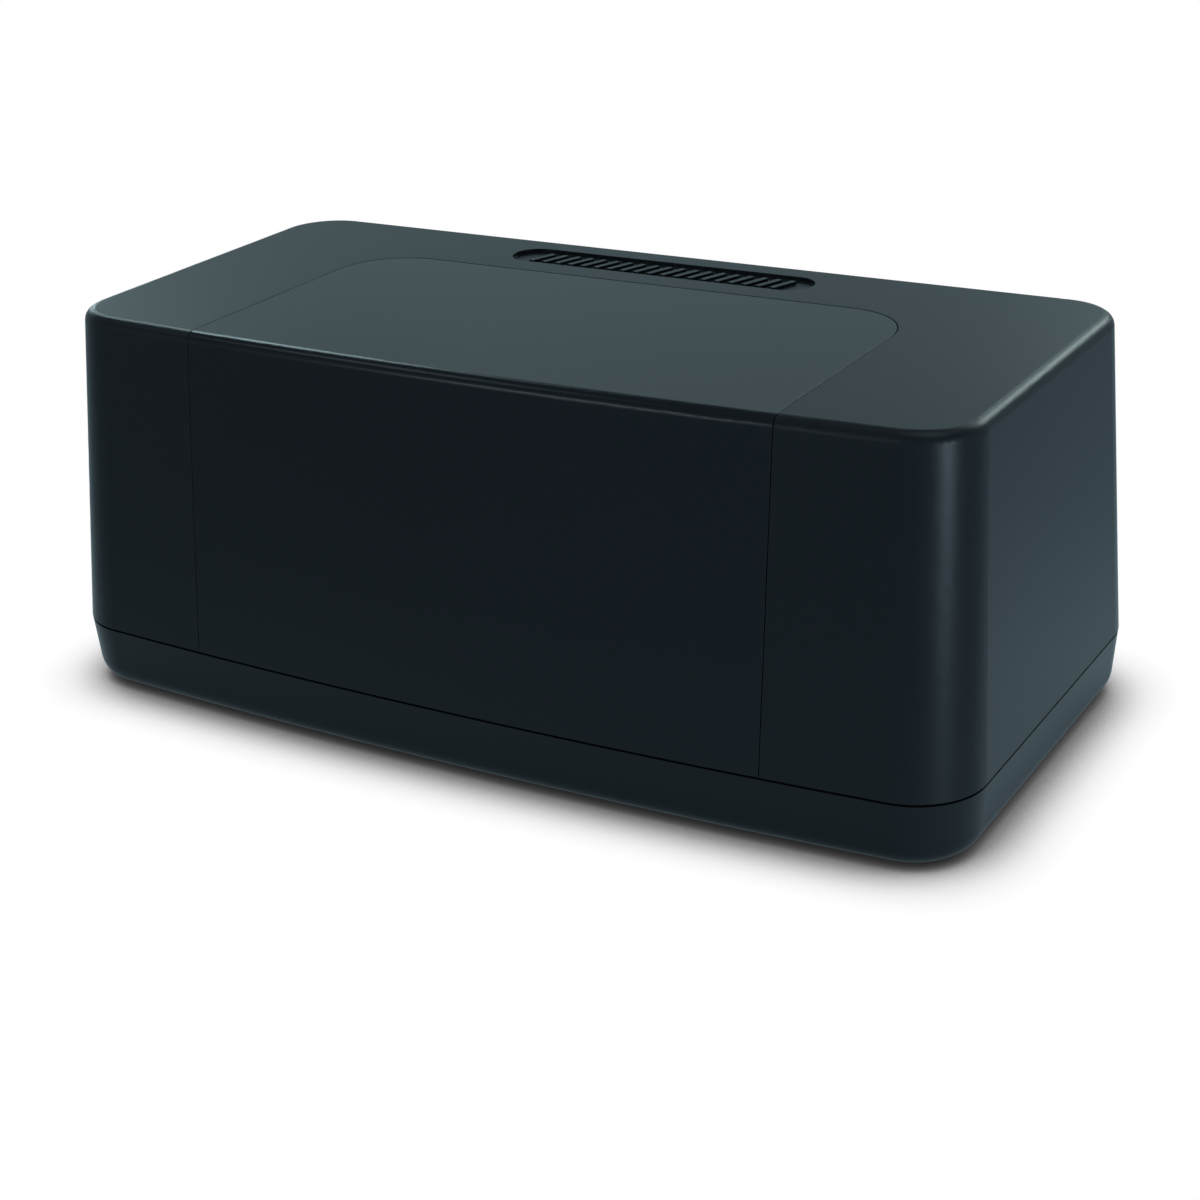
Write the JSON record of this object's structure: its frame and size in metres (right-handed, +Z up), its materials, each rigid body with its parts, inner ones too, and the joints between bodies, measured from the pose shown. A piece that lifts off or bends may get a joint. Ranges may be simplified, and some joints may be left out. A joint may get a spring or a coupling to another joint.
{
  "type": "indoor tv antenna",
  "caption": "Box-shaped amplified indoor television antenna with a flip-up cover over a control bay and rear sockets.",
  "frame": {"origin": "middle of the bounding box's base, on the surface that the feet stand on", "axes": "+X along the long side to the right, -Y to the front with the cover's front panel, +Z up"},
  "size_m": [0.28, 0.1419, 0.1112],
  "materials": {
    "shell_plastic": "fine spark-eroded matte",
    "base_plastic": "fine matte",
    "cover_plastic": "smooth satin",
    "bay_plastic": "matte",
    "fascia_plastic": "satin",
    "knob_plastic": "satin",
    "button_plastic": "satin",
    "foot_rubber": "matte",
    "hinge_steel": "zinc plated",
    "screw_steel": "zinc plated",
    "socket_metal": "nickel plated",
    "shield_metal": "tin plated",
    "element_metal": "bare",
    "board_laminate": "solder mask",
    "component_plastic": "matte",
    "insulator_plastic": "white",
    "light_plastic": "clear green",
    "ferrite": "sintered",
    "lead_jacket": "soft"
  },
  "bodies": {
    "casing": {"upper_shell": "shell_plastic", "base_tray": "base_plastic", "casing_screws": "screw_steel", "bracket_screws": "screw_steel", "friction_washers": "hinge_steel", "control_bay": "bay_plastic", "bay_screws": "screw_steel", "control_fascia": "fascia_plastic", "control_board": "board_laminate", "control_board_screws": "screw_steel", "gain_control": "component_plastic", "power_switch": "component_plastic", "band_switch": "component_plastic", "power_led": "light_plastic", "light_pipe": "light_plastic", "antenna_board": "board_laminate", "antenna_board_screws": "screw_steel", "balun_core": "ferrite", "balun_wires": "element_metal", "amplifier_board": "board_laminate", "board_spacers": "insulator_plastic", "amplifier_screws": "screw_steel", "shield_can": "shield_metal", "feed_lead": "lead_jacket", "header_socket": "component_plastic", "header_strip": "component_plastic", "socket_recess": "base_plastic", "output_socket": "socket_metal", "socket_insulator": "insulator_plastic", "socket_nut": "socket_metal", "power_inlet": "component_plastic", "hinge_bracket_left": "bay_plastic", "hinge_bracket_right": "bay_plastic", "hinge_pin_left": "hinge_steel", "hinge_pin_right": "hinge_steel", "hinge_clip_left": "hinge_steel", "hinge_clip_right": "hinge_steel", "uhf_element_left": "element_metal", "uhf_element_right": "element_metal", "vhf_element_left": "element_metal", "vhf_element_right": "element_metal", "foot_front_left": "foot_rubber", "foot_front_right": "foot_rubber", "foot_rear_left": "foot_rubber", "foot_rear_right": "foot_rubber", "bumper_front_left": "foot_rubber", "bumper_front_right": "foot_rubber", "bumper_rear_left": "foot_rubber", "bumper_rear_right": "foot_rubber"},
    "cover": {"flip_cover": "cover_plastic", "hinge_arm_left": "hinge_steel", "hinge_arm_right": "hinge_steel", "arm_screws": "screw_steel"},
    "knob": {"gain_knob": "knob_plastic", "gain_shaft": "hinge_steel"},
    "button": {"power_button": "button_plastic"},
    "lever": {"band_lever": "button_plastic"}
  },
  "joints": [
    {"name": "cover_hinge", "type": "hinge", "parent": "casing", "child": "cover", "pos_m": [0, 0.0588, 0.1052], "axis": [-1, 0, 0], "range_deg": [0, 75]},
    {"name": "gain_turn", "type": "hinge", "parent": "casing", "child": "knob", "pos_m": [0.04, -0.0038, 0.0617], "axis": [0, 0, -1], "range_deg": [-150, 150]},
    {"name": "button_push", "type": "slide", "parent": "casing", "child": "button", "axis": [0, 0, -1], "range_m": [0, 0.0015], "stiffness_N_per_m": 900, "springref_m": -0.0008},
    {"name": "band_slide", "type": "slide", "parent": "casing", "child": "lever", "axis": [1, 0, 0], "range_m": [0, 0.004]}
  ]
}
